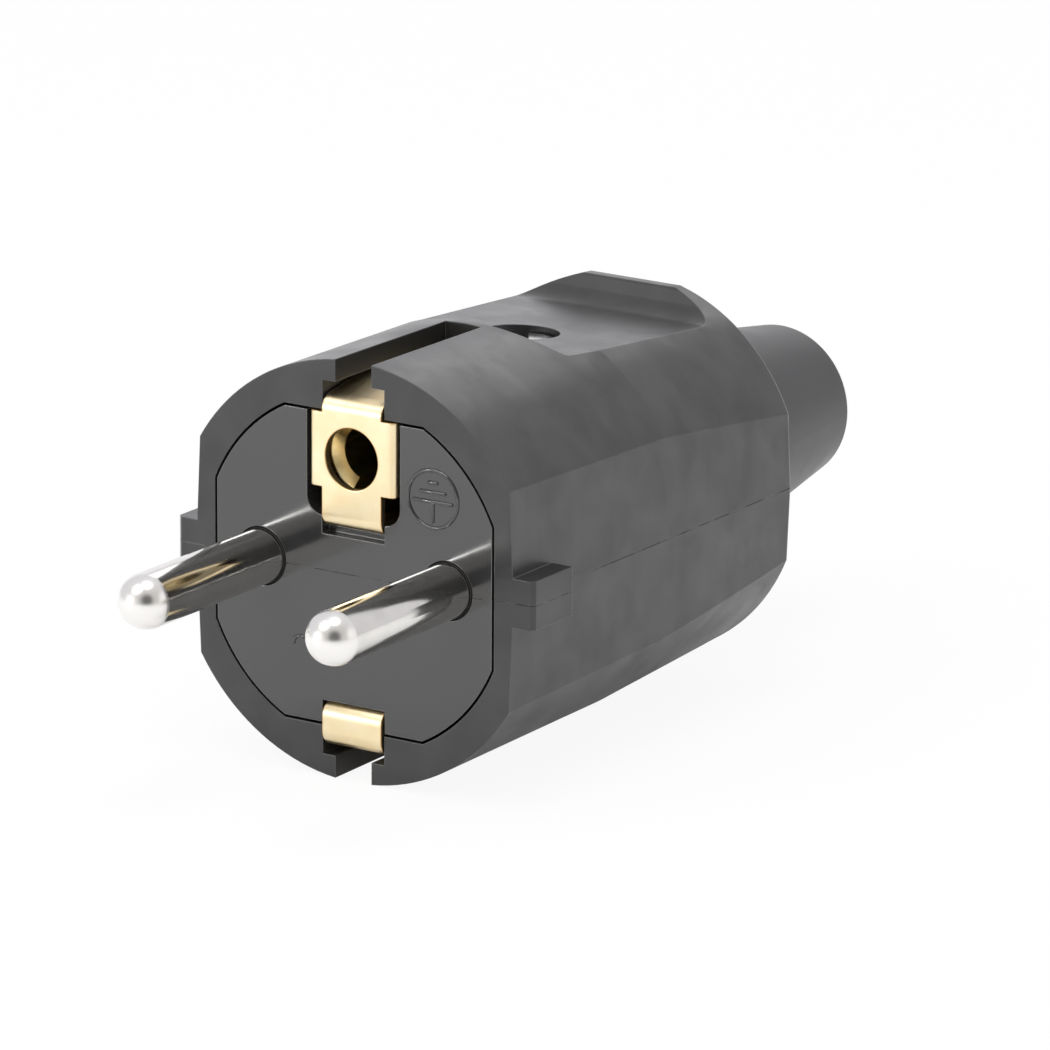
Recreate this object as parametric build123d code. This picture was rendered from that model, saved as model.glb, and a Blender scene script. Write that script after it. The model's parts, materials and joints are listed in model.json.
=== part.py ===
from build123d import *
import os
from math import radians, sqrt, tan

# A rewirable mains plug with two round pins and earth contacts above and below.
# The frame: origin on the engagement face, midway between the pins; the pins point to -Y,
# the cord leaves to +Y, +X is right as seen from the socket side and +Z is up.
# All sizes are in millimetres.

# Pins and their terminals
pin_d = 4.8
pin_length = 19.0           # from the engagement face to the tip
pin_pitch = 19.0
pin_seat_d = 5.0            # the part of the pin that sits in the carrier
terminal_d = 6.6            # the pin's thick rear end
terminal_start = 4.0        # shoulder that bears on the carrier when the plug is pulled
terminal_end = 19.5
terminal_edge = 0.4         # bevel round the terminal's rear end
wire_bore_d = 3.2
wire_bore_depth = 8.0
terminal_screw_setback = 3.4    # from the terminal's rear end to the screw's axis
terminal_screw_d = 3.5
terminal_screw_head_d = 5.4
terminal_screw_head_h = 2.0

# Casing, outside
body_r = 18.45              # at the front
body_half_width = 16.2      # at the parting plane
side_draft = 2.5            # degrees, each half leans in from the parting plane
bend_y = 23.7               # where the slight taper of the front ends and the steeper one starts
body_length = 44.0
bend_drop = 0.3             # how much the radius has lost there
rear_drop = 1.3             # and at the rear end
rear_narrowing = 0.05       # how much the half width has lost at the rear end
rear_edge_fillet = 0.6
lug_reach = 2.0             # beyond the side wall
lug_length = 5.9
lug_half_height = 2.13
lug_chamfer = 0.4

# Grip scoops, one above and one below
scoop_front_y = 19.3        # front end of the floor
scoop_rear_setback = 3.4    # from the floor's rear end to the casing's rear face
scoop_front_depth = 2.45    # below the radius at the front
scoop_rear_depth = 2.8      # below the rear radius
scoop_wall_angle = 49.0
scoop_front_fillet = 1.2
scoop_rear_fillet = 3.0
ridge_flat_depth = 0.6      # flat on top of the rear ridge, below the rear radius
ridge_fillet = 0.4

# Casing, inside
front_rim = 2.9             # rim round the carrier: its round parts and its flat sides
side_rim = 1.95
slot_web = 1.2              # between the carrier's opening and the earth slots
slot_mouth_half = 1.85
chamber_start_y = 17.2
round_wall = 2.1            # chamber walls at the rear: round parts, flat sides and scoop floors
side_wall = 2.05
floor_wall = 2.35
rear_wall = 3.0
peg_x = 12.0
peg_d = 2.4
peg_height = 2.4
peg_post_wall = 1.3
stop_rib = 1.6              # rib behind each pin
stop_notch_r = 2.4

# Casing screw and its nut
screw_y = 25.6              # on the middle plane
screw_d = 4.0
screw_head_d = 5.9
screw_head_h = 2.2
screw_sink = 0.8            # head below the scoop's floor
screw_head_bevel = 0.6
pillar_wall = 1.3           # round the screw
nut_flats = 7.0
nut_h = 3.1
nut_sink = 0.07             # nut below the scoop's floor
driver_slot_depth = 1.0     # in all screw heads
driver_slot_width = 0.9

# Contact carrier
carrier_depth = 12.0
flange_y = 8.0
flange_thickness = 3.0
flange_rise = 1.2
pocket_floor_rise = 0.3     # above the upper contact's tab
pocket_corner = 1.6
tab_slot_drop = 0.6         # notch under the upper contact's bend
core_wall = 1.2             # between the rear hollows and what lies beside them
core_outer_x = 8.8
core_floor_y = 3.0

# Earth contacts, folded from sheet
sheet = 0.7
bend_r = 1.0                # at the middle of the sheet
contact_proud = 0.3         # in front of the engagement face
strip_depth = 2.65          # outer faces of the strips in the slots, below the radius at the front
strip_lead = 4.7            # sloping front part of each strip
strip_lead_drop = 0.7       # how far it slopes down to the bend
low_lead_drop = 0.15        # the same on the lower strip
strip_end_y = 15.8
strip_half = 3.0
plate_half = 4.4
plate_drop = 2.8            # below the middle of the earth hole
plate_flange_length = 7.0
plate_flange_inset = 0.4
earth_hole_drop = 3.85      # from the top of the carrier's opening to the middle of the earth hole
tab_drop = 6.4              # from there to the underside of the tab that runs back from the plate
low_leg_rise = 4.1          # from the lower strip's outer face to the inner face of its leg

# Spring that grips an earth pin
spring_bore_r = 2.45
spring_sheet = 0.8
spring_lead = 0.7           # flare at the mouth: how far out and how deep
spring_lead_depth = 0.9
spring_length = 12.5
spring_mouth_half = 0.9

# Earth terminal
earth_screw_z = -4.5
earth_nut_side = 7.0
earth_nut_h = 3.2
earth_boss_wall = 1.5
earth_boss_rise = 1.7       # behind the carrier's rear face
washer_half = 4.0
washer_h = 1.0
earth_screw_head_d = 7.0
earth_screw_head_h = 2.4
earth_screw_reach = 6.0
plate_overlap = 3.5         # how far each plate runs past the screw

# Cord clamp
cord_r = 4.2
clamp_half_y = 1.8
clamp_setback = 0.3         # behind the screw pillar
clamp_head_gap = 0.3        # round the screw heads
clamp_screw_d = 3.0
clamp_screw_head_d = 5.4
clamp_screw_head_h = 1.9
clamp_screw_length = 8.0
clamp_boss_r = 3.0
clamp_seat_z = -1.5
clamp_thickness = 2.3
clamp_end_margin = 3.0
saddle_half_y = 1.2

# Bend sleeve
sleeve_length = 24.2        # behind the casing
sleeve_base_r = 10.8
sleeve_end_r = 7.0
sleeve_end_fillet = 0.7
sleeve_neck_r = 8.7
sleeve_flange = 2.4
sleeve_rib = 1.4            # casing rib in front of the flange
sleeve_rib_r = 8.0

# Clearances
fit_gap = 0.05              # pieces that seat on each other
pin_gap = 0.1
carrier_gap = 0.25          # round the carrier's outline
peg_gap = 0.1
screw_head_room = 0.35      # round the casing screw's head
strip_room = 0.6            # between the strips and the slots' ledges
strip_side_room = 0.15
strip_end_room = 0.75
leg_room = 0.2              # beside the contacts' legs in the carrier
pocket_room = 0.35          # beside the upper contact's plate
plate_top_room = 0.15
hole_margin = 0.25          # earth hole larger than the spring behind it
cord_room = 0.1             # between the cord and the sleeve
sleeve_flange_room = 1.0
past = 1.0                  # cutters run this far past what they cut

# Places worked out from the sizes above
rear_r = body_r - rear_drop
rear_half_width = body_half_width - rear_narrowing
scoop_rear_y = body_length - scoop_rear_setback
floor_front_z = body_r - scoop_front_depth
floor_rear_z = rear_r - scoop_rear_depth
floor_slope = (floor_rear_z - floor_front_z) / (scoop_rear_y - scoop_front_y)
screw_floor_z = floor_front_z + floor_slope * (screw_y - scoop_front_y)
ridge_z = rear_r - ridge_flat_depth
scoop_slope = tan(radians(scoop_wall_angle))
ridge_y = scoop_rear_y + (ridge_z - floor_rear_z) / scoop_slope
rear_wall_y = body_length - rear_wall
pin_x = pin_pitch / 2
terminal_screw_y = terminal_end - terminal_screw_setback
flange_end_y = flange_y + flange_thickness
chamber_r = rear_r - round_wall
chamber_half_width = rear_half_width - side_wall
chamber_half_height = floor_rear_z - floor_wall
screw_seat_z = screw_floor_z - screw_sink - screw_head_h - fit_gap
screw_recess_r = screw_head_d / 2 + screw_head_room
pillar_r = screw_d / 2 + peg_gap + pillar_wall
nut_seat_z = screw_floor_z - nut_sink - nut_h - fit_gap
peg_post_r = peg_d / 2 + peg_post_wall
strip_z = body_r - strip_depth
low_leg_z = strip_z - low_leg_rise
strip_floor_z = strip_z - sheet - fit_gap
slot_half = strip_half + strip_side_room
slot_ledge_z = strip_z + strip_room
slot_end_y = strip_end_y + strip_end_room
opening_r = body_r - front_rim
opening_half_width = body_half_width - side_rim
opening_half_height = strip_floor_z - slot_web
carrier_r = opening_r - carrier_gap
carrier_half_width = opening_half_width - carrier_gap
carrier_half_height = opening_half_height - carrier_gap
pocket_half = plate_half + pocket_room
leg_slot_half = strip_half + leg_room
core_inner_x = pocket_half + core_wall
core_low_z = terminal_d / 2 + fit_gap + core_wall
core_high_z = sqrt((carrier_r - core_wall) ** 2 - core_outer_x ** 2)
earth_hole_z = opening_half_height - earth_hole_drop
tab_low_z = earth_hole_z - tab_drop
face_line_y = sheet / 2 - contact_proud
lead_end_y = face_line_y + strip_lead
lead_slope = strip_lead_drop / strip_lead
boss_end_y = carrier_depth + earth_boss_rise
lower_plate_y = boss_end_y + fit_gap + sheet / 2
upper_plate_y = lower_plate_y + sheet + fit_gap
washer_y = upper_plate_y + sheet / 2 + fit_gap
earth_head_y = washer_y + washer_h + fit_gap
tab_top_z = tab_low_z + sheet
pocket_floor_z = tab_top_z + pocket_floor_rise
plate_low_z = earth_hole_z - plate_drop
plate_high_z = opening_half_height - plate_top_room
earth_hole_r = spring_bore_r + hole_margin
earth_boss_half = earth_nut_side / 2 + earth_boss_wall
clamp_screw_x = cord_r + clamp_thickness + clamp_head_gap + clamp_screw_head_d / 2
sleeve_flange_end_y = rear_wall_y - fit_gap
sleeve_flange_y = sleeve_flange_end_y - sleeve_flange
sleeve_flange_r = chamber_half_height - sleeve_flange_room
sleeve_bore_r = cord_r + cord_room
sleeve_rib_y = sleeve_flange_y - fit_gap - sleeve_rib
clamp_y = screw_y + pillar_r + clamp_setback + clamp_half_y
clamp_head_z = clamp_seat_z + fit_gap + clamp_thickness + fit_gap
clamp_top_z = clamp_head_z + clamp_screw_head_h
beyond = 2 * body_r         # safely outside the casing


def block(x0, x1, y0, y1, z0, z1):
    middle = Pos((x0 + x1) / 2, (y0 + y1) / 2, (z0 + z1) / 2)
    return middle * Box(abs(x1 - x0), abs(y1 - y0), abs(z1 - z0))


def drum(r, y0, y1, x=0.0, z=0.0):
    return Pos(x, (y0 + y1) / 2, z) * Rot(90, 0, 0) * Cylinder(r, y1 - y0)


def post(r, z0, z1, x, y):
    return Pos(x, y, (z0 + z1) / 2) * Cylinder(r, abs(z1 - z0))


def across(face, y0, y1):
    # An outline drawn in X and Z, extruded from y0 to y1.
    return extrude(Plane.XZ.offset(-y0) * face, amount=y0 - y1)


def along_x(face, half):
    # An outline drawn in Y and Z, extruded to both sides of the middle plane.
    return extrude(Plane.YZ * face, amount=half, both=True)


def spun(points):
    # A half outline of (radius, y) points, turned round the Y axis.
    return revolve(make_face(Polyline(points, close=True)), Axis.Y)


def flatted_circle(r, half_width, half_height):
    return Circle(r) & Rectangle(2 * half_width, 2 * half_height)


def drafted_sides():
    # Block with the casing's plan outline that leans in above the parting plane.
    narrowing = (body_half_width - rear_half_width) / (body_length - bend_y)
    far_half_width = rear_half_width - narrowing * beyond
    right = [(body_half_width, -beyond), (body_half_width, bend_y), (far_half_width, body_length + beyond)]
    left = [(-x, y) for x, y in reversed(right)]
    return extrude(make_face(Polyline(right + left, close=True)), amount=beyond, taper=side_draft)


def mirrored(shape):
    return mirror(shape, Plane.XY)


def slotted(head, r, z_top, x, y):
    # A screwdriver slot across a vertical head, along X.
    half = driver_slot_width / 2
    return head - block(x - r, x + r, y - half, y + half, z_top - driver_slot_depth, z_top + past)


def scoop():
    # Finger grip: steep front wall, sloping floor, hollow rise to the rear ridge and the ridge's flat.
    top = body_r + scoop_front_depth
    behind = body_length + rear_wall
    lip = (scoop_front_y - (top - floor_front_z) / scoop_slope, top)
    front = (scoop_front_y, floor_front_z)
    rear = (scoop_rear_y, floor_rear_z)
    radii = [0, scoop_front_fillet, scoop_rear_fillet, 0, 0, 0]
    outline = FilletPolyline(lip, front, rear, (ridge_y, ridge_z), (behind, ridge_z), (behind, top),
                             radius=radii, close=True)
    return along_x(make_face(outline), beyond)


def half_blank():
    # The upper half of the casing as a solid block.
    turned = spun([(0, 0), (body_r, 0), (body_r - bend_drop, bend_y), (rear_r, body_length),
                   (0, body_length)])
    half = (turned & drafted_sides()) - scoop()
    ridge_edge = half.edges().filter_by(Axis.X).sort_by_distance((0, ridge_y, ridge_z))[0]
    half = fillet(ridge_edge, ridge_fillet)
    rear_edges = half.faces().sort_by(Axis.Y)[-1].edges().sort_by(Axis.Z)[1:]
    return fillet(rear_edges, rear_edge_fillet)


def lugs():
    # Guide lugs on both sides, flush with the front.
    root_x = (body_half_width + opening_half_width) / 2
    tip_x = body_half_width + lug_reach
    lug = block(root_x, tip_x, 0, lug_length, -lug_half_height, lug_half_height)
    front_edge = lug.edges().filter_by(Axis.Z).group_by(Axis.Y)[0].sort_by(Axis.X)[-1]
    lug = chamfer(front_edge, lug_chamfer)
    return lug + mirror(lug, Plane.YZ)


def earth_slot():
    # The T-shaped slot in the upper half: narrow mouth, wide channel with a ramp in front, and a notch
    # for the contact's face leg.
    mouth = block(-slot_mouth_half, slot_mouth_half, -past, slot_end_y, strip_floor_z, beyond)
    channel = block(-slot_half, slot_half, -past, slot_end_y, strip_floor_z, slot_ledge_z)
    ramp_low_z = strip_floor_z - lead_slope * (lead_end_y + past)
    ramp = Polyline((-past, ramp_low_z), (lead_end_y, strip_floor_z), (-past, strip_floor_z), close=True)
    notch_end = face_line_y + bend_r + fit_gap
    notch = block(-slot_half, slot_half, -past, notch_end, opening_half_height - past, slot_ledge_z)
    return mouth + channel + along_x(make_face(ramp), slot_half) + notch


def hollow():
    # Front opening for the carrier, groove for its flange, and the wiring chamber.
    opening = flatted_circle(opening_r, opening_half_width, opening_half_height)
    groove = flatted_circle(opening_r + flange_rise, opening_half_width, opening_half_height)
    chamber = flatted_circle(chamber_r, chamber_half_width, chamber_half_height)
    room = across(opening, -past, chamber_start_y)
    room += across(groove, flange_y - fit_gap, flange_end_y + fit_gap)
    room += across(chamber, chamber_start_y, rear_wall_y)
    return room


def inner_walls():
    # What stands in the chamber of both halves: screw pillar, peg posts, pin stops and the sleeve rib.
    pillar = post(pillar_r, -body_r, body_r, 0, screw_y)
    posts = [post(peg_post_r, -body_r, body_r, side * peg_x, screw_y) for side in (-1, 1)]
    stop_y = terminal_end + fit_gap
    stop_x = pin_x - terminal_d / 2
    stop = block(stop_x, beyond, stop_y, stop_y + stop_rib, -beyond, beyond)
    stop -= drum(stop_notch_r, stop_y - past, stop_y + stop_rib + past, pin_x)
    rib_end_y = sleeve_rib_y + sleeve_rib
    rib = block(-beyond, beyond, sleeve_rib_y, rib_end_y, -beyond, beyond)
    rib -= drum(sleeve_rib_r, sleeve_rib_y - past, rib_end_y + past)
    relief_z = clamp_top_z + clamp_head_gap
    rib -= block(-beyond, beyond, sleeve_rib_y - past, rib_end_y + past, -relief_z, relief_z)
    return pillar + posts + stop + mirror(stop, Plane.YZ) + rib


def clamp_bed():
    # Bosses and saddle of the cord clamp, drawn as if they stood in the upper half.
    seat_z = -clamp_seat_z
    bosses = [post(clamp_boss_r, seat_z, beyond, side * clamp_screw_x, clamp_y) for side in (-1, 1)]
    saddle = block(-clamp_screw_x, clamp_screw_x, clamp_y - saddle_half_y, clamp_y + saddle_half_y,
                   seat_z, beyond)
    saddle -= drum(cord_r, clamp_y - clamp_boss_r, clamp_y + clamp_boss_r)
    return saddle + bosses


def casing_half(room):
    # One half shell, as the upper one: the blank with its lugs, less the room inside and the openings.
    half = half_blank() + (lugs() & block(-beyond, beyond, -past, body_length, 0, beyond))
    half = half - room - earth_slot()
    half -= drum(sleeve_neck_r + fit_gap, rear_wall_y - past, body_length + past)
    return half - post(screw_d / 2 + peg_gap, -past, beyond, 0, screw_y)


def upper_shell():
    half = casing_half(hollow() - inner_walls())
    half -= post(screw_recess_r, screw_seat_z, beyond, 0, screw_y)
    for side in (-1, 1):
        half -= post(peg_d / 2 + peg_gap, -past, peg_height + peg_gap, side * peg_x, screw_y)
    return half


def lower_shell():
    half = mirrored(casing_half(hollow() - inner_walls() - clamp_bed()))
    pocket = extrude(RegularPolygon(nut_flats / 2 + fit_gap, 6, major_radius=False), amount=beyond)
    half -= Pos(0, screw_y, -nut_seat_z - beyond) * pocket
    hole_depth = clamp_screw_length - clamp_thickness + fit_gap
    for side in (-1, 1):
        half += post(peg_d / 2, -past, peg_height, side * peg_x, screw_y)
        half -= post(clamp_screw_d / 2 + fit_gap, clamp_seat_z - hole_depth, past,
                     side * clamp_screw_x, clamp_y)
    return half


def contact_carrier():
    outline = flatted_circle(carrier_r, carrier_half_width, carrier_half_height)
    wide = flatted_circle(carrier_r + flange_rise, carrier_half_width, carrier_half_height)
    body = across(outline, 0, carrier_depth)
    body += across(wide, flange_y, flange_end_y)
    body += block(-earth_boss_half, earth_boss_half, carrier_depth - past, boss_end_y,
                  earth_screw_z - earth_boss_half, earth_screw_z + earth_boss_half)
    # Pocket of the upper contact: open at the top, rounded below, with a step that stops the plate's flanges.
    step_y = plate_flange_length - contact_proud + fit_gap
    wide_pocket = Pos(0, pocket_floor_z + body_r / 2) * Rectangle(2 * pocket_half, body_r)
    wide_pocket = fillet(wide_pocket.vertices().group_by(Axis.Y)[0], pocket_corner)
    narrow_half = plate_half - sheet - 2 * fit_gap
    narrow_pocket = Pos(0, pocket_floor_z + body_r / 2) * Rectangle(2 * narrow_half, body_r)
    body -= across(wide_pocket, -past, step_y)
    body -= across(narrow_pocket, step_y, boss_end_y + past)
    # Slot for the tab: deeper at the face, close under the tab behind it.
    tab_front_y = face_line_y + bend_r
    slot_top_z = pocket_floor_z + past
    body -= block(-leg_slot_half, leg_slot_half, -past, tab_front_y, tab_low_z - tab_slot_drop, slot_top_z)
    body -= block(-leg_slot_half, leg_slot_half, -past, boss_end_y + past, tab_low_z - fit_gap, slot_top_z)
    # Notch for the lower contact.
    body -= block(-leg_slot_half, leg_slot_half, -past, boss_end_y + past, -beyond, -low_leg_z + fit_gap)
    # Hollows from the rear keep the walls even.
    for side in (-1, 1):
        for level in (-1, 1):
            body -= block(side * core_inner_x, side * core_outer_x, core_floor_y, carrier_depth + past,
                          level * core_low_z, level * core_high_z)
        body -= drum(pin_seat_d / 2 + pin_gap, -past, terminal_start, side * pin_x)
        body -= drum(terminal_d / 2 + fit_gap, terminal_start, carrier_depth + past, side * pin_x)
    nut_half = earth_nut_side / 2 + fit_gap
    nut_y = boss_end_y - earth_nut_h
    body -= block(-nut_half, nut_half, nut_y, boss_end_y + past, earth_screw_z - nut_half,
                  earth_screw_z + nut_half)
    tip_y = earth_head_y - earth_screw_reach
    body -= drum(screw_d / 2 + peg_gap, tip_y - fit_gap, nut_y + past, 0, earth_screw_z)
    return body


def pin(side):
    # Turned pin: round tip, shank, seat, shoulder and a drilled terminal with a threaded cross hole.
    tip_y = -pin_length
    r = pin_d / 2
    seat_r = pin_seat_d / 2
    wide_r = terminal_d / 2
    shoulder_y = terminal_start + fit_gap
    nose = CenterArc((0, tip_y + r), r, 270, 90)
    rest = Polyline((r, tip_y + r), (r, fit_gap), (seat_r, fit_gap), (seat_r, shoulder_y),
                    (wide_r, shoulder_y), (wide_r, terminal_end - terminal_edge),
                    (wide_r - terminal_edge, terminal_end), (0, terminal_end), (0, tip_y))
    body = revolve(make_face(nose + rest), Axis.Y)
    body -= drum(wire_bore_d / 2, terminal_end - wire_bore_depth, terminal_end + past)
    body -= post(terminal_screw_d / 2 + fit_gap, 0, terminal_d, 0, terminal_screw_y)
    return Pos(side * pin_x, 0, 0) * body


def pin_terminal_screws():
    screws = []
    seat_z = terminal_d / 2 + fit_gap
    top_z = seat_z + terminal_screw_head_h
    for side in (-1, 1):
        x = side * pin_x
        head = post(terminal_screw_head_d / 2, seat_z, top_z, x, terminal_screw_y)
        head = slotted(head, terminal_screw_head_d, top_z, x, terminal_screw_y)
        screws.append(head + post(terminal_screw_d / 2, wire_bore_d / 4, seat_z, x, terminal_screw_y))
    return Compound(children=screws)


def ribbon(points, half):
    # A strip of sheet that follows a bent line of (y, z) points.
    line = FilletPolyline(points, radius=bend_r)
    return along_x(trace(line, sheet), half)


def upper_earth_contact():
    # One folded sheet: strip in the slot, plate with two side flanges on the face, tab to the terminal.
    strip_line_z = strip_z - sheet / 2
    tab_line_z = tab_low_z + sheet / 2
    body = ribbon([(strip_end_y, strip_line_z), (lead_end_y, strip_line_z),
                   (face_line_y, strip_line_z - strip_lead_drop), (face_line_y, tab_line_z),
                   (upper_plate_y, tab_line_z), (upper_plate_y, earth_screw_z - plate_overlap)], strip_half)
    front_y = -contact_proud
    plate = block(-plate_half, plate_half, front_y, plate_flange_length + front_y, plate_low_z, plate_high_z)
    plate = fillet(plate.edges().filter_by(Axis.Z).group_by(Axis.Y)[0], sheet)
    inner = plate_half - sheet
    plate -= block(-inner, inner, front_y + sheet, beyond, 0, beyond)
    behind_plate = front_y + 2 * sheet
    plate -= block(-beyond, beyond, behind_plate, beyond, 0, plate_low_z + plate_flange_inset)
    plate -= block(-beyond, beyond, behind_plate, beyond, plate_high_z - plate_flange_inset, beyond)
    body += plate
    body -= drum(earth_hole_r, front_y - past, front_y + 2 * sheet, 0, earth_hole_z)
    body -= drum(screw_d / 2 + peg_gap, upper_plate_y - past, upper_plate_y + past, 0, earth_screw_z)
    return body


def lower_earth_contact():
    # One folded strip: in the slot, up the face, back through the carrier and up to the terminal.
    strip_line_z = -strip_z + sheet / 2
    leg_line_z = -low_leg_z - sheet / 2
    body = ribbon([(strip_end_y, strip_line_z), (lead_end_y, strip_line_z),
                   (face_line_y, strip_line_z + low_lead_drop), (face_line_y, leg_line_z),
                   (lower_plate_y, leg_line_z), (lower_plate_y, earth_screw_z + plate_overlap)], strip_half)
    body -= drum(screw_d / 2 + peg_gap, lower_plate_y - past, lower_plate_y + past, 0, earth_screw_z)
    return body


def earth_socket_spring():
    # Rolled sleeve with a flared mouth, open below, on two feet that stand on the upper contact's tab.
    outer_r = spring_bore_r + spring_sheet
    foot_x = spring_mouth_half + spring_sheet
    ring = Pos(0, earth_hole_z) * (Circle(outer_r) - Circle(spring_bore_r))
    ring -= Pos(0, earth_hole_z - outer_r) * Rectangle(2 * spring_mouth_half, 2 * spring_bore_r)
    knee_z = earth_hole_z - sqrt(spring_bore_r ** 2 - spring_mouth_half ** 2)
    foot_h = knee_z - tab_top_z
    for side in (-1, 1):
        middle_x = side * (spring_mouth_half + foot_x) / 2
        ring += Pos(middle_x, tab_top_z + foot_h / 2) * Rectangle(spring_sheet, foot_h)
    start_y = face_line_y + sheet / 2 + bend_r
    mouth = Cone(spring_bore_r, spring_bore_r + spring_lead, spring_lead_depth)
    mouth = Pos(0, start_y + spring_lead_depth / 2, earth_hole_z) * Rot(90, 0, 0) * mouth
    return across(ring, start_y, start_y + spring_length) - mouth


def earth_terminal_nut():
    half = earth_nut_side / 2
    body = block(-half, half, boss_end_y - earth_nut_h + fit_gap, boss_end_y, earth_screw_z - half,
                 earth_screw_z + half)
    return body - drum(screw_d / 2 + fit_gap, 0, boss_end_y + past, 0, earth_screw_z)


def earth_clamp_washer():
    body = block(-washer_half, washer_half, washer_y, washer_y + washer_h, earth_screw_z - washer_half,
                 earth_screw_z + washer_half)
    return body - drum(screw_d / 2 + peg_gap, washer_y - past, washer_y + washer_h + past, 0, earth_screw_z)


def earth_terminal_screw():
    top_y = earth_head_y + earth_screw_head_h
    body = drum(earth_screw_head_d / 2, earth_head_y, top_y, 0, earth_screw_z)
    half = driver_slot_width / 2
    body -= block(-earth_screw_head_d, earth_screw_head_d, top_y - driver_slot_depth, top_y + past,
                  earth_screw_z - half, earth_screw_z + half)
    return body + drum(screw_d / 2, earth_head_y - earth_screw_reach, earth_head_y, 0, earth_screw_z)


def case_screw():
    # Pan head in the upper scoop, shank through both halves into the nut.
    r = screw_head_d / 2
    seat_z = screw_seat_z + fit_gap
    top_z = seat_z + screw_head_h
    head = post(r, seat_z, top_z, 0, screw_y)
    head = chamfer(head.edges().group_by(Axis.Z)[-1], screw_head_bevel)
    head = slotted(head, r, top_z, 0, screw_y)
    return head + post(screw_d / 2, -nut_seat_z - nut_h, seat_z, 0, screw_y)


def case_nut():
    body = extrude(RegularPolygon(nut_flats / 2, 6, major_radius=False), amount=nut_h)
    body -= Cylinder(screw_d / 2 + fit_gap, beyond)
    return Pos(0, screw_y, -nut_seat_z - fit_gap - nut_h) * body


def cord_clamp():
    # Strap with an arch over the cord and a foot on each boss.
    seat_z = clamp_seat_z + fit_gap
    end_x = clamp_screw_x + clamp_end_margin
    y0 = clamp_y - clamp_half_y
    y1 = clamp_y + clamp_half_y
    feet = block(-end_x, end_x, y0, y1, seat_z, seat_z + clamp_thickness)
    feet = fillet(feet.edges().filter_by(Axis.Z), clamp_half_y / 2)
    arch = drum(cord_r + clamp_thickness, y0, y1)
    arch -= block(-beyond, beyond, y0 - past, y1 + past, -beyond, seat_z)
    body = feet + arch - drum(cord_r, y0 - past, y1 + past)
    for side in (-1, 1):
        body -= post(clamp_screw_d / 2 + peg_gap, -beyond, beyond, side * clamp_screw_x, clamp_y)
    return body


def cord_clamp_screws():
    screws = []
    for side in (-1, 1):
        x = side * clamp_screw_x
        head = post(clamp_screw_head_d / 2, clamp_head_z, clamp_top_z, x, clamp_y)
        head = slotted(head, clamp_screw_head_d, clamp_top_z, x, clamp_y)
        shank = post(clamp_screw_d / 2, clamp_head_z - clamp_screw_length, clamp_head_z, x, clamp_y)
        screws.append(head + shank)
    return Compound(children=screws)


def bend_sleeve():
    # Soft cone behind the casing, held by a flange between the rear wall and its rib.
    base_y = body_length + fit_gap
    end_y = body_length + sleeve_length
    body = spun([(sleeve_bore_r, sleeve_flange_y), (sleeve_flange_r, sleeve_flange_y),
                 (sleeve_flange_r, sleeve_flange_end_y), (sleeve_neck_r, sleeve_flange_end_y),
                 (sleeve_neck_r, base_y), (sleeve_base_r, base_y), (sleeve_end_r, end_y),
                 (sleeve_bore_r, end_y)])
    end_edge = body.edges().filter_by(GeomType.CIRCLE).group_by(Axis.Y)[-1].sort_by(SortBy.RADIUS)[-1]
    return fillet(end_edge, sleeve_end_fillet)


nodes = {
    "upper_shell": upper_shell(),
    "lower_shell": lower_shell(),
    "contact_carrier": contact_carrier(),
    "left_pin": pin(-1),
    "right_pin": pin(1),
    "pin_terminal_screws": pin_terminal_screws(),
    "upper_earth_contact": upper_earth_contact(),
    "lower_earth_contact": lower_earth_contact(),
    "earth_socket_spring": earth_socket_spring(),
    "earth_terminal_nut": earth_terminal_nut(),
    "earth_clamp_washer": earth_clamp_washer(),
    "earth_terminal_screw": earth_terminal_screw(),
    "case_screw": case_screw(),
    "case_nut": case_nut(),
    "cord_clamp": cord_clamp(),
    "cord_clamp_screws": cord_clamp_screws(),
    "bend_sleeve": bend_sleeve(),
}

os.makedirs("parts", exist_ok=True)
for name, shape in nodes.items():
    export_step(shape, f"parts/{name}.step")
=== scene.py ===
import bpy
import bmesh
import json
from math import cos, pi, radians, sin
from mathutils import Matrix, Vector


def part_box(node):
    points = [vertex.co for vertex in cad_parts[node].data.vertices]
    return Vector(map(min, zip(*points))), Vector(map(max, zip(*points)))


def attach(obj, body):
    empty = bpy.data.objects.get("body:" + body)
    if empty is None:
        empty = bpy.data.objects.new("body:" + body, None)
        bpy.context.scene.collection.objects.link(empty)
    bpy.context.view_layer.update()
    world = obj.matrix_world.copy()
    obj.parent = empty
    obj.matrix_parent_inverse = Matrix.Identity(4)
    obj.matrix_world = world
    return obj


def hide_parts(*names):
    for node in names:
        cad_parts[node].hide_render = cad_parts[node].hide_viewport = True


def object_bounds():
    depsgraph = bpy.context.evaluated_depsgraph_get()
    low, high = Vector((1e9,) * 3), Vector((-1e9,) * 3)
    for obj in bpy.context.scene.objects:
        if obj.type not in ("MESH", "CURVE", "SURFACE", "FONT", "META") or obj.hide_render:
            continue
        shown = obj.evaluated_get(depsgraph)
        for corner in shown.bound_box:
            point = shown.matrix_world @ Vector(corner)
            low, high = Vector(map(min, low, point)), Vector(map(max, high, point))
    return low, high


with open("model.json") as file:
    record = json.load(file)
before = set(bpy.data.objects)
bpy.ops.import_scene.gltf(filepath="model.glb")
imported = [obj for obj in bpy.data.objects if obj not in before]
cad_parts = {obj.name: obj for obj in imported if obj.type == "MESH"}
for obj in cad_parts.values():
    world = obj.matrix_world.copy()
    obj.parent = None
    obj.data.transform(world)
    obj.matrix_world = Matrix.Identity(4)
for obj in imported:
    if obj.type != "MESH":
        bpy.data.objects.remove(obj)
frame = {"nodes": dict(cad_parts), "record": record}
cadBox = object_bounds()
nodes = frame["nodes"]
mm = 0.001
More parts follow.
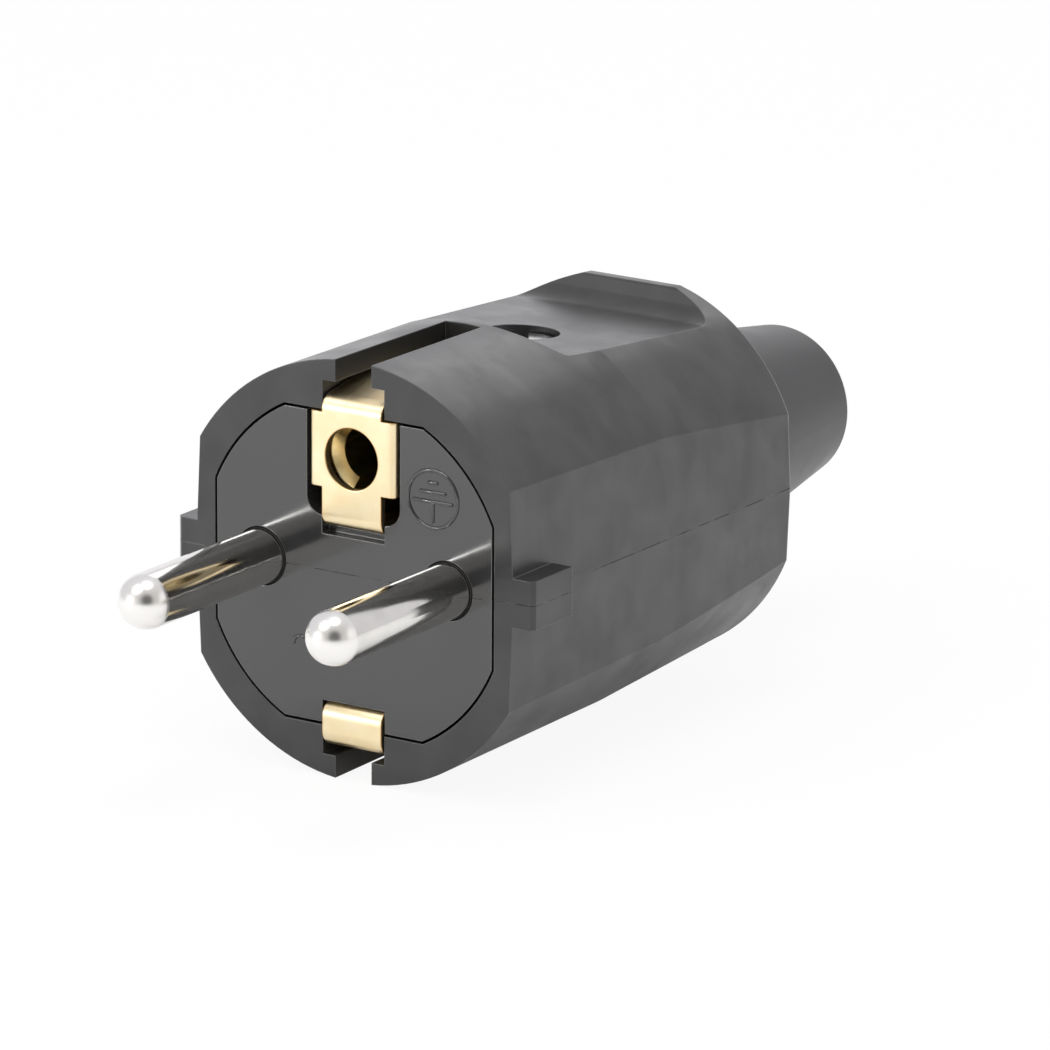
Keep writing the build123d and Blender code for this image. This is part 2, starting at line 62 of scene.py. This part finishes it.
print("frame loaded with", len(nodes), "nodes")

photoCamera = {
    "azimuth": 33.48, "elevation": 15.76, "roll": 0.255,     # degrees
    "distance": 800 * mm, "right": 14.456 * mm, "up": 4.061 * mm,
    "lens": 325.7, "sensor": 36.0, "nearest": 10 * mm, "farthest": 50.0,
}


def makeCamera(s):
    turn, tilt, roll = radians(s["azimuth"]), radians(s["elevation"]), radians(s["roll"])
    back = Vector((sin(turn) * cos(tilt), -cos(turn) * cos(tilt), sin(tilt)))
    level = Vector((cos(turn), sin(turn), 0))
    rise = back.cross(level)
    right = cos(roll) * level + sin(roll) * rise
    up = cos(roll) * rise - sin(roll) * level
    place = s["right"] * right + s["up"] * up + s["distance"] * back
    data = bpy.data.cameras.new("photoCamera")
    data.lens = s["lens"]
    data.sensor_width = s["sensor"]
    data.clip_start, data.clip_end = s["nearest"], s["farthest"]
    obj = bpy.data.objects.new("photoCamera", data)
    axes = Matrix((right, up, back)).transposed()
    obj.matrix_world = Matrix.Translation(place) @ axes.to_4x4()
    bpy.context.scene.collection.objects.link(obj)
    bpy.context.scene.camera = obj


makeCamera(photoCamera)
bpy.context.scene.view_settings.view_transform = "Standard"
print("camera set")


def newTree(name):
    made = bpy.data.materials.new(name)
    made.use_nodes = True
    tree = made.node_tree
    return made, tree, tree.nodes["Principled BSDF"]


def put(tree, kind, **settings):
    node = tree.nodes.new(kind)
    for key, value in settings.items():
        setattr(node, key, value)
    return node


def feed(tree, target, source):
    # source is another node's socket or a plain value
    if isinstance(source, bpy.types.NodeSocket):
        tree.links.new(source, target)
    else:
        target.default_value = source


def newGroup(name, inputs, outputs):
    group = bpy.data.node_groups.new(name, "ShaderNodeTree")
    for way, sockets in (("INPUT", inputs), ("OUTPUT", outputs)):
        for label, kind in sockets.items():
            group.interface.new_socket(label, in_out=way, socket_type="NodeSocket" + kind)
    given, result = put(group, "NodeGroupInput"), put(group, "NodeGroupOutput")
    return group, given.outputs, result.inputs


def useGroup(tree, group, **sources):
    node = put(tree, "ShaderNodeGroup", node_tree=group)
    for label, source in sources.items():
        feed(tree, node.inputs[label], source)
    return node.outputs


def noise(tree, place, **sources):
    node = put(tree, "ShaderNodeTexNoise")
    feed(tree, node.inputs["Vector"], place)
    for label, source in sources.items():
        feed(tree, node.inputs[label], source)
    return node.outputs["Fac"]


def remap(tree, source, fromLow, fromHigh, toLow=0.0, toHigh=1.0):
    node = put(tree, "ShaderNodeMapRange")
    feed(tree, node.inputs["Value"], source)
    node.inputs["From Min"].default_value = fromLow
    node.inputs["From Max"].default_value = fromHigh
    node.inputs["To Min"].default_value = toLow
    node.inputs["To Max"].default_value = toHigh
    return node.outputs["Result"]


def maths(tree, operation, first, second=0.0):
    node = put(tree, "ShaderNodeMath", operation=operation)
    feed(tree, node.inputs[0], first)
    feed(tree, node.inputs[1], second)
    return node.outputs["Value"]


def vectorMaths(tree, operation, first, second):
    node = put(tree, "ShaderNodeVectorMath", operation=operation)
    feed(tree, node.inputs[0], first)
    feed(tree, node.inputs[1], second)
    return node.outputs["Value" if operation == "DOT_PRODUCT" else "Vector"]


def mix(tree, kind, factor, first, second):
    node = put(tree, "ShaderNodeMix", data_type=kind)
    for label, source in (("Factor", factor), ("A", first), ("B", second)):
        feed(tree, node.inputs[label], source)
    return node.outputs["Result"]


def blend(tree, factor, first, second):
    # first is a socket or a colour, second a colour
    if isinstance(first, tuple):
        first = (*first, 1)
    return mix(tree, "RGBA", factor, first, (*second, 1))


skinMarks = {
    "cloudDetail": 4, "cloudDistortion": 0.5, "smearScales": (300, 620, 200), "smearDetail": 1,
    "grainDetail": 2, "noiseRange": (0.32, 0.68), "cloudShare": 0.78, "smearShare": 0.22,
}


def makeSkinGroup(s):
    # moulded skin: slow clouds crossed by upright smears, and a fine grain
    group, given, result = newGroup(
        "mouldedSkin", {"Place": "Vector", "CloudScale": "Float", "GrainScale": "Float"},
        {"Smear": "Float", "Grain": "Float"})
    drawn = vectorMaths(group, "MULTIPLY", given["Place"], s["smearScales"])
    cloud = noise(group, given["Place"], Scale=given["CloudScale"], Detail=s["cloudDetail"],
                  Distortion=s["cloudDistortion"])
    smear = noise(group, drawn, Scale=1, Detail=s["smearDetail"])
    grain = noise(group, given["Place"], Scale=given["GrainScale"], Detail=s["grainDetail"])
    both = maths(group, "ADD", remap(group, cloud, *s["noiseRange"], 0.0, s["cloudShare"]),
                 remap(group, smear, *s["noiseRange"], 0.0, s["smearShare"]))
    feed(group, result["Smear"], both)
    feed(group, result["Grain"], grain)
    return group


# how far the normal has turned where the painted edge light starts to show and where it shows fully
edgeMarks = {"samples": 8, "turned": (0.99, 0.80)}


def makeEdgeGroup(s):
    # soft corners: the normal rounded over a small radius, and how near an edge is, as the mask for
    # painted edge light
    group, given, result = newGroup(
        "softEdges", {"Radius": "Float"}, {"Normal": "Vector", "EdgeLight": "Float"})
    soft = put(group, "ShaderNodeBevel", samples=s["samples"])
    feed(group, soft.inputs["Radius"], given["Radius"])
    flat = put(group, "ShaderNodeNewGeometry")
    facing = vectorMaths(group, "DOT_PRODUCT", soft.outputs["Normal"], flat.outputs["Normal"])
    feed(group, result["Normal"], soft.outputs["Normal"])
    feed(group, result["EdgeLight"], remap(group, facing, *s["turned"]))
    return group


seamMarks = {
    "breakScale": 330, "breakDetail": 4, "breakRange": (0.44, 0.56), "faintest": 0.12,
    "core": 0.4,                                     # share of the width that is fully dark
    "colour": (0.002, 0.002, 0.002), "roughness": 1.0,
}


def makeLineGroup(s):
    # a thin level line at one height, here and there broken
    group, given, result = newGroup(
        "levelLine", {"Place": "Vector", "Height": "Float", "HalfWidth": "Float"},
        {"Line": "Float"})
    parts = put(group, "ShaderNodeSeparateXYZ")
    feed(group, parts.inputs["Vector"], given["Place"])
    breaks = noise(group, given["Place"], Scale=s["breakScale"], Detail=s["breakDetail"])
    away = maths(group, "ABSOLUTE", maths(group, "SUBTRACT", parts.outputs["Z"], given["Height"]))
    share = maths(group, "DIVIDE", away, given["HalfWidth"])
    line = maths(group, "MULTIPLY", remap(group, share, 1.0, s["core"]),
                 remap(group, breaks, *s["breakRange"], s["faintest"], 1.0))
    feed(group, result["Line"], line)
    return group


toolMarks = {
    "markDetail": 5, "markRoughness": 0.65, "cloudScale": 420, "cloudDetail": 4,
    "noiseRange": (0.3, 0.7),
}


def makeToolGroup(s):
    # fine parallel tool or rolling marks; Stretch is how closely they lie along each axis
    group, given, result = newGroup(
        "toolMarks", {"Place": "Vector", "Stretch": "Vector"}, {"Marks": "Float", "Cloud": "Float"})
    drawn = vectorMaths(group, "MULTIPLY", given["Place"], given["Stretch"])
    marks = noise(group, drawn, Scale=1, Detail=s["markDetail"], Roughness=s["markRoughness"])
    cloud = noise(group, given["Place"], Scale=s["cloudScale"], Detail=s["cloudDetail"])
    feed(group, result["Marks"], remap(group, marks, *s["noiseRange"]))
    feed(group, result["Cloud"], remap(group, cloud, *s["noiseRange"]))
    return group


skinGroup = makeSkinGroup(skinMarks)
edgeGroup = makeEdgeGroup(edgeMarks)
lineGroup = makeLineGroup(seamMarks)
toolGroup = makeToolGroup(toolMarks)
print("shared surface groups made")

grainHeight, markHeight = 0.02 * mm, 0.01 * mm


def addRelief(tree, shader, normal, height, strength, distance):
    bump = put(tree, "ShaderNodeBump")
    bump.inputs["Strength"].default_value = strength
    bump.inputs["Distance"].default_value = distance
    feed(tree, bump.inputs["Height"], height)
    feed(tree, bump.inputs["Normal"], normal)
    feed(tree, shader.inputs["Normal"], bump.outputs["Normal"])


def makePlastic(name, s):
    made, tree, shader = newTree(name)
    place = put(tree, "ShaderNodeTexCoord").outputs["Object"]
    skin = useGroup(tree, skinGroup, Place=place, CloudScale=s["cloudScale"],
                    GrainScale=s["grainScale"])
    edge = useGroup(tree, edgeGroup, Radius=s["edgeRadius"])
    colour = blend(tree, skin["Smear"], s["dark"], s["light"])
    # painted highlight: a paler line along the rounded edges, where highlights would fall
    colour = blend(tree, edge["EdgeLight"], colour, s["edge"])
    rough = remap(tree, skin["Smear"], 0.0, 1.0, *s["roughness"])
    if "seam" in s:
        height, halfWidth = s["seam"]
        seam = useGroup(tree, lineGroup, Place=place, Height=height, HalfWidth=halfWidth)
        colour = blend(tree, seam["Line"], colour, seamMarks["colour"])
        rough = mix(tree, "FLOAT", seam["Line"], rough, seamMarks["roughness"])
    if "film" in s:
        # thin patchy film left by the mould and by hands
        film = remap(tree, skin["Smear"], 0.0, 1.0, *s["film"])
        feed(tree, shader.inputs["Coat Weight"], film)
        shader.inputs["Coat Roughness"].default_value = s["filmRoughness"]
    feed(tree, shader.inputs["Base Color"], colour)
    feed(tree, shader.inputs["Roughness"], rough)
    shader.inputs["IOR"].default_value = s["ior"]
    addRelief(tree, shader, edge["Normal"], skin["Grain"], s["grainDepth"], grainHeight)
    return made


def makeMetal(name, s):
    made, tree, shader = newTree(name)
    place = put(tree, "ShaderNodeTexCoord").outputs["Object"]
    tool = useGroup(tree, toolGroup, Place=place, Stretch=s["stretch"])
    edge = useGroup(tree, edgeGroup, Radius=s["edgeRadius"])
    colour = blend(tree, tool["Cloud"], s["dark"], s["light"])
    rough = remap(tree, tool["Marks"], 0.0, 1.0, *s["roughness"])
    # painted shade: on the brass the edge colour lays a darker, warmer band along the edges
    if "edge" in s:
        colour = blend(tree, edge["EdgeLight"], colour, s["edge"])
    metallic = 1.0
    if "paintedShadeRing" in s:
        # frosted ball end, and painted shade: a dark ring where the pin enters the carrier
        parts = put(tree, "ShaderNodeSeparateXYZ")
        feed(tree, parts.inputs["Vector"], place)
        depth = parts.outputs["Y"]
        ball = remap(tree, depth, s["ballEnd"], s["ballEnd"] - s["ballFade"])
        colour = blend(tree, ball, colour, s["ballColour"])
        rough = mix(tree, "FLOAT", ball, rough, s["ballRoughness"])
        # painted shade: a dark, matt, unmetallic ring on the pin just inside the carrier's hole,
        # where shade falls
        start, end = s["paintedShadeRing"]
        ring = maths(tree, "MULTIPLY", remap(tree, depth, start, start + s["paintedShadeRingFade"]),
                     remap(tree, depth, end + s["paintedShadeRingFade"], end))
        colour = blend(tree, ring, colour, s["paintedShadeRingColour"])
        rough = mix(tree, "FLOAT", ring, rough, s["paintedShadeRingRoughness"])
        metallic = remap(tree, ring, 0.0, 1.0, 1.0, 0.0)
    feed(tree, shader.inputs["Base Color"], colour)
    feed(tree, shader.inputs["Roughness"], rough)
    feed(tree, shader.inputs["Metallic"], metallic)
    addRelief(tree, shader, edge["Normal"], tool["Marks"], s["markDepth"], markHeight)
    return made


# the plastics' edge colours are painted highlights: paler lines along their rounded edges
casing = {
    "dark": (0.018, 0.018, 0.0185), "light": (0.029, 0.029, 0.030), "edge": (0.10, 0.10, 0.10),
    "cloudScale": 240.0, "grainScale": 1500.0, "grainDepth": 0.02, "roughness": (0.37, 0.28),
    "edgeRadius": 0.16 * mm, "ior": 1.56, "film": (0.19, 0.42), "filmRoughness": 0.22,
    "seam": (0.0, 0.06 * mm),                        # height and half width
}
carrier = {
    "dark": (0.025, 0.025, 0.0255), "light": (0.029, 0.029, 0.030), "edge": (0.20, 0.20, 0.20),
    "cloudScale": 220.0, "grainScale": 1200.0, "grainDepth": 0.01, "roughness": (0.09, 0.15),
    "edgeRadius": 0.12 * mm, "ior": 1.85, "seam": (-0.2 * mm, 0.05 * mm),
}
sleeve = {
    "dark": (0.024, 0.024, 0.025), "light": (0.046, 0.046, 0.047), "edge": (0.05, 0.05, 0.05),
    "cloudScale": 170.0, "grainScale": 1800.0, "grainDepth": 0.05, "roughness": (0.30, 0.42),
    "edgeRadius": 0.25 * mm, "ior": 1.53,
}
clamp = {
    "dark": (0.030, 0.030, 0.030), "light": (0.040, 0.040, 0.040), "edge": (0.06, 0.06, 0.06),
    "cloudScale": 260.0, "grainScale": 1800.0, "grainDepth": 0.05, "roughness": (0.35, 0.45),
    "edgeRadius": 0.15 * mm, "ior": 1.5,
}
pinPlate = {
    "dark": (0.78, 0.76, 0.73), "light": (0.86, 0.84, 0.81), "stretch": (300, 9000, 300),
    "markDepth": 0.06, "roughness": (0.09, 0.16), "edgeRadius": 0.1 * mm,
    # places along Y
    "ballEnd": -16.6 * mm, "ballFade": 0.05 * mm,
    "ballColour": (0.92, 0.90, 0.88), "ballRoughness": 0.25,
    # painted shade ring just inside the carrier, with its fade, colour and roughness
    "paintedShadeRing": (-0.02 * mm, 0.2 * mm), "paintedShadeRingFade": 0.03 * mm,
    "paintedShadeRingColour": (0.01, 0.01, 0.01), "paintedShadeRingRoughness": 0.9,
}
# the brass edge colour is painted shade: a darker, warmer band along its edges
earthBrass = {
    "dark": (0.96, 0.77, 0.46), "light": (1.0, 0.87, 0.60), "edge": (0.85, 0.46, 0.14),
    "stretch": (7000, 500, 500), "markDepth": 0.015, "roughness": (0.28, 0.36),
    "edgeRadius": 0.2 * mm,
}
springBrass = {
    "dark": (0.80, 0.63, 0.32), "light": (0.92, 0.78, 0.46), "stretch": (2500, 300, 2500),
    "markDepth": 0.15, "roughness": (0.18, 0.28), "edgeRadius": 0.1 * mm,
}
screwSteel = {
    "dark": (0.76, 0.76, 0.76), "light": (0.88, 0.88, 0.87), "stretch": (3000, 3000, 3000),
    "markDepth": 0.05, "roughness": (0.14, 0.24), "edgeRadius": 0.1 * mm,
}

finishes = {
    "casing": makePlastic("casingPlastic", casing),
    "carrier": makePlastic("carrierPlastic", carrier),
    "sleeve_rubber": makePlastic("sleeveRubber", sleeve),
    "clamp_plastic": makePlastic("clampPlastic", clamp),
    "pin_plating": makeMetal("pinNickel", pinPlate),
    "earth_brass": makeMetal("contactBrass", earthBrass),
    "screw_steel": makeMetal("screwZinc", screwSteel),
}
ownFinishes = {"earth_socket_spring": makeMetal("springBrass", springBrass)}
for part in frame["record"]["subparts"]:
    data = nodes[part["node"]].data
    data.materials.clear()
    data.materials.append(ownFinishes.get(part["node"], finishes[part["material_slot"]]))
print("finishes put on", len(nodes), "nodes")

weld = 0.002 * mm


def makePiece(name, bm, slot, smooth):
    bmesh.ops.remove_doubles(bm, verts=bm.verts, dist=weld)
    bmesh.ops.recalc_face_normals(bm, faces=bm.faces)
    for face in bm.faces:
        face.smooth = smooth
    mesh = bpy.data.meshes.new(name)
    bm.to_mesh(mesh)
    bm.free()
    mesh.materials.append(finishes[slot])
    obj = bpy.data.objects.new(name, mesh)
    bpy.context.scene.collection.objects.link(obj)
    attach(obj, "root")
    return obj


# an odd count of rings leaves none at a ball's middle, where a bead is drawn out
beads = {"sides": 10, "ballSides": 12, "ballRings": 9, "endRings": 8}


def addArc(bm, centre, radius, thick, start, angle, steps):
    # a round bead, half sunk, bent about an (x, z) place on the face, in degrees from +X to +Z
    place = Vector((centre[0], 0, centre[1]))
    ring = bmesh.ops.create_circle(bm, segments=beads["sides"], radius=thick)["verts"]
    edges = list({edge for vert in ring for edge in vert.link_edges})
    bmesh.ops.translate(bm, verts=ring, vec=(radius, 0, 0))
    bmesh.ops.rotate(bm, verts=ring, cent=(0, 0, 0),
                     matrix=Matrix.Rotation(-radians(start), 3, "Y"))
    bmesh.ops.translate(bm, verts=ring, vec=place)
    bmesh.ops.spin(bm, geom=ring + edges, cent=place, axis=(0, -1, 0), angle=radians(angle),
                   steps=steps, use_merge=angle == 360)


def addBead(bm, start, end, thick):
    # a straight bead with round ends between two (x, z) places on the face
    first, last = Vector((start[0], 0, start[1])), Vector((end[0], 0, end[1]))
    half = (last - first).length / 2
    ball = bmesh.ops.create_uvsphere(bm, u_segments=beads["ballSides"],
                                     v_segments=beads["ballRings"], radius=thick)["verts"]
    for vert in ball:
        vert.co.z += half if vert.co.z > 0 else -half
    turn = Vector((0, 0, 1)).rotation_difference((last - first).normalized()).to_matrix()
    bmesh.ops.rotate(bm, verts=ball, cent=(0, 0, 0), matrix=turn)
    bmesh.ops.translate(bm, verts=ball, vec=(first + last) / 2)


earthSign = {
    "centre": (8.07 * mm, 7.75 * mm), "ringRadius": 2.5 * mm, "ringSteps": 72,
    "lineRadius": 0.17 * mm,
    # half length and height of each bar from the middle, and the stem's two heights
    "bars": ((1.9 * mm, -0.23 * mm), (1.2 * mm, 0.59 * mm), (0.4 * mm, 1.41 * mm)),
    "stem": (-0.23 * mm, -1.93 * mm),
}


def makeEarthSign(s):
    bm = bmesh.new()
    x, z = s["centre"]
    thick = s["lineRadius"]
    addArc(bm, s["centre"], s["ringRadius"], thick, 0, 360, s["ringSteps"])
    for half, height in s["bars"]:
        addBead(bm, (x - half, z + height), (x + half, z + height), thick)
    top, bottom = s["stem"]
    addBead(bm, (x, z + top), (x, z + bottom), thick)
    makePiece("earthSign", bm, "carrier", smooth=True)


waveSign = {
    "centre": (-4.85 * mm, -7.05 * mm), "bendRadius": 0.64 * mm, "bendSteps": 16,
    "lineRadius": 0.17 * mm,
}


def makeWaveSign(s):
    # half a turn over the line, half a turn under it, and a ball at each end
    bm = bmesh.new()
    x, z = s["centre"]
    bend, thick = s["bendRadius"], s["lineRadius"]
    addArc(bm, (x - bend, z), bend, thick, 0, 180, s["bendSteps"])
    addArc(bm, (x + bend, z), bend, thick, 180, 180, s["bendSteps"])
    for side in (-1, 1):
        ball = bmesh.ops.create_uvsphere(bm, u_segments=beads["ballSides"],
                                         v_segments=beads["endRings"], radius=thick)["verts"]
        bmesh.ops.translate(bm, verts=ball, vec=(x + side * 2 * bend, 0, z))
    makePiece("waveSign", bm, "carrier", smooth=True)


makeEarthSign(earthSign)
makeWaveSign(waveSign)
print("signs raised on the carrier")


def spinProfile(bm, points, steps):
    # (radius, height) points turned round Z
    verts = [bm.verts.new((r, 0, z)) for r, z in points]
    edges = [bm.edges.new(pair) for pair in zip(verts, verts[1:])]
    bmesh.ops.spin(bm, geom=verts + edges, cent=(0, 0, 0), axis=(0, 0, 1), angle=2 * pi,
                   steps=steps, use_merge=True)


def threadRings(top, bottom, pitch, crest, root):
    points = []
    while top > bottom + pitch:
        points += [(crest, top), (root, top - pitch / 2)]
        top -= pitch
    return points


caseScrew = {
    "headRadius": 2.95 * mm, "headHeight": 2.2 * mm, "roundOff": 0.5 * mm, "roundSteps": 4,
    "slotDepth": 1.0 * mm, "slotHalf": 0.45 * mm, "slotTurn": 123,
    "shankRadius": 2.0 * mm, "rootRadius": 1.68 * mm, "pitch": 0.7 * mm,
    "threadLength": 15 * mm, "tip": 0.3 * mm, "sides": 64,
}


def makeCaseScrew(s):
    low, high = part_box("case_screw")
    middle = (low + high) / 2
    slotFloor = high.z - s["slotDepth"]
    under = high.z - s["headHeight"]
    bm = bmesh.new()
    # slotted head: a disc parted by the slot, its two sides raised
    bmesh.ops.create_circle(bm, cap_ends=True, segments=s["sides"], radius=s["headRadius"])
    bmesh.ops.translate(bm, verts=bm.verts, vec=(0, 0, slotFloor))
    for side in (-1, 1):
        bmesh.ops.bisect_plane(bm, geom=bm.verts[:] + bm.edges[:] + bm.faces[:],
                               plane_co=(0, side * s["slotHalf"], 0), plane_no=(0, 1, 0))
    cheeks = [face for face in bm.faces if abs(face.calc_center_median().y) > s["slotHalf"]]
    raised = bmesh.ops.extrude_face_region(bm, geom=cheeks)["geom"]
    tops = [item for item in raised if isinstance(item, bmesh.types.BMVert)]
    bmesh.ops.translate(bm, verts=tops, vec=(0, 0, s["slotDepth"]))
    bmesh.ops.delete(bm, geom=cheeks, context="FACES_ONLY")
    crown = [edge for edge in bm.edges
             if all(abs(vert.co.z - high.z) < weld for vert in edge.verts)]
    bmesh.ops.bevel(bm, geom=crown, offset=s["roundOff"], affect="EDGES",
                    segments=s["roundSteps"], profile=0.5, material=-1, clamp_overlap=True)
    # head's wall, shank, thread and tip in one turn
    profile = [(s["headRadius"], slotFloor), (s["headRadius"], under), (s["shankRadius"], under)]
    profile += threadRings(low.z + s["threadLength"], low.z, s["pitch"], s["shankRadius"],
                           s["rootRadius"])
    profile += [(s["rootRadius"], low.z + s["tip"]), (s["rootRadius"] - s["tip"], low.z),
                (0, low.z)]
    spinProfile(bm, profile, s["sides"])
    bmesh.ops.rotate(bm, verts=bm.verts, cent=(0, 0, 0),
                     matrix=Matrix.Rotation(radians(s["slotTurn"]), 3, "Z"))
    bmesh.ops.translate(bm, verts=bm.verts, vec=(middle.x, middle.y, 0))
    obj = makePiece("caseScrew", bm, "screw_steel", smooth=False)
    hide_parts("case_screw")


caseNut = {
    "boreRadius": 2.05 * mm, "boreChamfer": 0.3 * mm, "rootRadius": 2.3 * mm, "pitch": 0.7 * mm,
    "chamfer": 0.35 * mm, "faceInset": 0.1 * mm, "sides": 72,
}


def makeCaseNut(s):
    low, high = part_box("case_nut")
    middle = (low + high) / 2
    corner = (high.x - low.x) / 2
    flat = (high.y - low.y) / 2
    face = flat - s["faceInset"]
    bore, chamfer = s["boreRadius"], s["chamfer"]
    mouth = bore + s["boreChamfer"]
    profile = [(mouth, low.z), (face, low.z), (corner, low.z + chamfer),
               (corner, high.z - chamfer), (face, high.z), (mouth, high.z)]
    profile += threadRings(high.z - s["boreChamfer"], low.z, s["pitch"], bore, s["rootRadius"])
    profile += [(bore, low.z + s["boreChamfer"]), (mouth, low.z)]
    bm = bmesh.new()
    spinProfile(bm, profile, s["sides"])
    bmesh.ops.remove_doubles(bm, verts=bm.verts, dist=weld)
    # six flats cut from the turned piece
    for side in range(6):
        angle = radians(30 + 60 * side)
        away = Vector((cos(angle), sin(angle), 0))
        cut = bmesh.ops.bisect_plane(bm, geom=bm.verts[:] + bm.edges[:] + bm.faces[:],
                                     plane_co=away * flat, plane_no=away, clear_outer=True)
        rim = [item for item in cut["geom_cut"] if isinstance(item, bmesh.types.BMEdge)]
        bmesh.ops.edgeloop_fill(bm, edges=rim)
    bmesh.ops.translate(bm, verts=bm.verts, vec=(middle.x, middle.y, 0))
    obj = makePiece("caseNut", bm, "screw_steel", smooth=False)
    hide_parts("case_nut")


makeCaseScrew(caseScrew)
makeCaseNut(caseNut)
print("casing screw and nut made")

surround = {
    "around": 0.68, "seen": 1.0,                     # level that lights things, and the backdrop's
    # what shiny things show in front and behind, with the tint of each
    "mirrored": (0.60, 0.76), "tints": ((1.0, 0.985, 0.96), (0.975, 0.97, 1.0)),
    "behind": (-0.55, 0.83, 0), "behindFade": (-0.5, 0.25),
    # direction, fade and level: an unlit place beside the camera, pale walls behind, right and left
    "spots": (
        ((0.58, -0.76, 0.29), (0.86, 0.96), 0.10),
        ((-0.65, 0.75, 0.10), (0.925, 0.97), 1.0),
        ((0.90, 0.38, 0.22), (0.90, 0.97), 1.0),
        ((-0.53, -0.83, 0.05), (0.86, 0.95), 1.0),
    ),
}


def makeSurround(s):
    world = bpy.data.worlds.new("studioSurround")
    bpy.context.scene.world = world
    world.use_nodes = True
    tree = world.node_tree
    rays = put(tree, "ShaderNodeLightPath").outputs
    direction = put(tree, "ShaderNodeTexCoord").outputs["Generated"]

    def towards(axis, fade):
        facing = vectorMaths(tree, "DOT_PRODUCT", direction, Vector(axis).normalized())
        return remap(tree, facing, *fade)

    behind = towards(s["behind"], s["behindFade"])
    shown = remap(tree, behind, 0.0, 1.0, *s["mirrored"])
    for axis, fade, level in s["spots"]:
        shown = mix(tree, "FLOAT", towards(axis, fade), shown, level)
    strength = mix(tree, "FLOAT", rays["Is Glossy Ray"], s["around"], shown)
    strength = mix(tree, "FLOAT", rays["Is Camera Ray"], strength, s["seen"])
    tint = blend(tree, behind, *s["tints"])
    background = tree.nodes["Background"]
    feed(tree, background.inputs["Strength"], strength)
    feed(tree, background.inputs["Color"],
         mix(tree, "RGBA", rays["Is Glossy Ray"], (1, 1, 1, 1), tint))


paleFloor = {
    "size": 3.0, "colour": (0.96, 0.96, 0.96), "roughness": 0.9,
    # share of even white, free of shade, for the camera and for shiny things
    "seen": 0.92, "mirrored": 0.10,
}


def makeFloor(s):
    made, tree, shader = newTree("paleFloor")
    shader.inputs["Base Color"].default_value = (*s["colour"], 1)
    shader.inputs["Roughness"].default_value = s["roughness"]
    shader.inputs["Specular IOR Level"].default_value = 0
    rays = put(tree, "ShaderNodeLightPath").outputs
    share = maths(tree, "ADD", maths(tree, "MULTIPLY", rays["Is Camera Ray"], s["seen"]),
                  maths(tree, "MULTIPLY", rays["Is Glossy Ray"], s["mirrored"]))
    glow = put(tree, "ShaderNodeEmission")
    mixed = put(tree, "ShaderNodeMixShader")
    feed(tree, mixed.inputs["Fac"], share)
    feed(tree, mixed.inputs[1], shader.outputs["BSDF"])
    feed(tree, mixed.inputs[2], glow.outputs["Emission"])
    feed(tree, tree.nodes["Material Output"].inputs["Surface"], mixed.outputs["Shader"])
    mesh = bpy.data.meshes.new("floor")
    bm = bmesh.new()
    bmesh.ops.create_grid(bm, x_segments=1, y_segments=1, size=s["size"])
    bmesh.ops.translate(bm, verts=bm.verts, vec=(0, 0, cadBox[0].z))
    bm.to_mesh(mesh)
    bm.free()
    mesh.materials.append(made)
    floor = bpy.data.objects.new("floor", mesh)
    bpy.context.scene.collection.objects.link(floor)


lamps = {
    # direction, distance, width, height and brightness; the left one is small and bright
    "frontLamp": ((-0.30, -0.55, 0.78), 0.5, 0.28, 0.28, 2.6),
    "leftLamp": ((-0.58, -0.76, 0.15), 0.6, 0.09, 0.09, 22.0),
    "rearLamp": ((-0.21, 0.81, 0.55), 0.8, 0.42, 0.29, 0.90),
    "topLamp": ((0.1, -0.1, 0.99), 0.6, 0.28, 0.28, 5.0),
}


def makeLamp(name, direction, distance, width, height, brightness):
    lamp = bpy.data.lights.new(name, "AREA")
    lamp.shape = "ELLIPSE"
    lamp.size, lamp.size_y = width, height
    area = pi / 4 * width * height
    lamp.energy = brightness * pi * area
    obj = bpy.data.objects.new(name, lamp)
    away = Vector(direction).normalized()
    obj.location = away * distance
    obj.rotation_euler = (-away).to_track_quat("-Z", "Y").to_euler()
    bpy.context.scene.collection.objects.link(obj)


makeSurround(surround)
makeFloor(paleFloor)
for name, settings in lamps.items():
    makeLamp(name, *settings)
print("studio lit")
